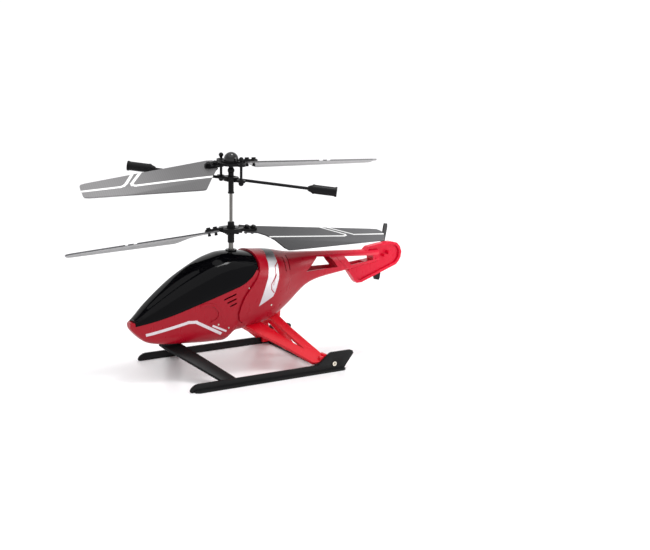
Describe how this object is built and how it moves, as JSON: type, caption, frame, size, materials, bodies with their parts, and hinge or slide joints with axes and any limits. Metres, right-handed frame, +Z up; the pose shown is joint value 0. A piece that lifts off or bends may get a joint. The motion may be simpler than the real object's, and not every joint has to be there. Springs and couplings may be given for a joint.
{
  "type": "remote control helicopter",
  "caption": "Toy helicopter with two counter-turning rotors on one mast, a tilting flybar, a tail propeller, a dark canopy and skids on splayed legs.",
  "frame": {"origin": "centre of the overall bounding box, on the plane its skids stand on", "axes": "+X towards the nose, +Y to port (left), +Z up along the mast"},
  "size_m": [0.2366, 0.0848, 0.1386],
  "materials": {
    "shell_red": "satin moulded plastic",
    "leg_red": "gloss moulded plastic",
    "canopy_black": "high gloss",
    "skid_black": "satin",
    "rotor_black": "satin",
    "blade_grey": "metallic satin",
    "prop_black": "satin",
    "weight_black": "satin over a steel core",
    "steel": "ground",
    "pin_silver": "bright",
    "brass": "turned",
    "gear_white": "natural acetal",
    "motor_can": "plated",
    "chassis_black": "matt",
    "battery_foil": "foil pouch",
    "board_green": "solder mask",
    "receiver_black": "gloss",
    "socket_black": "matt"
  },
  "bodies": {
    "airframe": {"canopy": "canopy_black", "front_shell_left": "shell_red", "front_shell_right": "shell_red", "rear_shell_left": "shell_red", "rear_shell_right": "shell_red", "tail_cap": "shell_red", "tail_motor": "motor_can", "skid_left": "skid_black", "skid_right": "skid_black", "front_cross_bar": "skid_black", "rear_cross_bar": "skid_black", "bar_screws": "steel", "leg_left": "leg_red", "leg_right": "leg_red", "skid_pin_left": "pin_silver", "skid_pin_right": "pin_silver", "keel": "leg_red", "shell_pins_left": "pin_silver", "shell_pins_right": "pin_silver", "lower_motor": "motor_can", "upper_motor": "motor_can", "chassis": "chassis_black", "top_bearing": "brass", "middle_bearing": "brass", "base_bearing": "brass", "battery": "battery_foil", "circuit_board": "board_green", "ir_receiver": "receiver_black", "switch_body": "chassis_black", "charge_socket": "socket_black"},
    "upper_shaft": {"inner_shaft": "steel", "upper_gear": "gear_white", "mast_sleeve": "rotor_black"},
    "lower_rotor": {"outer_shaft": "steel", "lower_gear": "gear_white", "lower_hub": "rotor_black", "lower_blade_a": "blade_grey", "lower_blade_b": "blade_grey", "lower_blade_pins": "rotor_black"},
    "upper_drive": {"upper_pinion": "brass", "upper_pinion_shaft": "steel"},
    "lower_drive": {"lower_pinion": "brass", "lower_pinion_shaft": "steel"},
    "rocker": {"flybar": "rotor_black", "flybar_weight_a": "weight_black", "flybar_weight_b": "weight_black"},
    "head": {"upper_hub": "rotor_black", "head_cap": "rotor_black", "upper_blade_a": "blade_grey", "upper_blade_b": "blade_grey", "upper_blade_pins": "rotor_black"},
    "link_a": {"link_a": "rotor_black"},
    "link_b": {"link_b": "rotor_black"},
    "tail_rotor": {"tail_prop": "prop_black", "tail_prop_shaft": "steel"},
    "switch": {"switch_slider": "socket_black"}
  },
  "joints": [
    {"name": "upper_rotor_spin", "type": "hinge", "parent": "airframe", "child": "upper_shaft", "pos_m": [0.013, 0, 0.08], "axis": [0, 0, 1], "continuous": true},
    {"name": "lower_rotor_spin", "type": "hinge", "parent": "airframe", "child": "lower_rotor", "pos_m": [0.013, 0, 0.07], "axis": [0, 0, 1], "continuous": true},
    {"name": "upper_pinion_spin", "type": "hinge", "parent": "airframe", "child": "upper_drive", "pos_m": [-0.002, 0, 0.035], "axis": [0, 0, 1], "continuous": true},
    {"name": "lower_pinion_spin", "type": "hinge", "parent": "airframe", "child": "lower_drive", "pos_m": [0.028, 0, 0.042], "axis": [0, 0, 1], "continuous": true},
    {"name": "flybar_tilt", "type": "hinge", "parent": "upper_shaft", "child": "rocker", "pos_m": [0.013, 0, 0.1218], "axis": [-0.6018, -0.7986, 0], "range_deg": [-17, 5]},
    {"name": "head_tilt", "type": "hinge", "parent": "upper_shaft", "child": "head", "pos_m": [0.013, 0, 0.132], "axis": [-0.9744, 0.225, 0], "range_deg": [-15.53, 4.58]},
    {"name": "link_a_lift", "type": "slide", "parent": "upper_shaft", "child": "link_a", "axis": [0, 0, 1], "range_m": [-0.00214, 0.00064]},
    {"name": "link_b_lift", "type": "slide", "parent": "upper_shaft", "child": "link_b", "axis": [0, 0, 1], "range_m": [-0.00064, 0.00214]},
    {"name": "tail_rotor_spin", "type": "hinge", "parent": "airframe", "child": "tail_rotor", "pos_m": [-0.1095, -0.0096, 0.0627], "axis": [0, 1, 0], "continuous": true},
    {"name": "power_switch", "type": "slide", "parent": "airframe", "child": "switch", "axis": [1, 0, 0], "range_m": [0, 0.0028]}
  ],
  "couplings": [
    {"joint": "upper_pinion_spin", "follows": "upper_rotor_spin", "ratio": -6.5},
    {"joint": "lower_pinion_spin", "follows": "lower_rotor_spin", "ratio": -6.5},
    {"joint": "head_tilt", "follows": "flybar_tilt", "ratio": 0.91312},
    {"joint": "link_a_lift", "follows": "flybar_tilt", "m_per_rad": 0.0071877},
    {"joint": "link_b_lift", "follows": "flybar_tilt", "m_per_rad": -0.0071877}
  ]
}
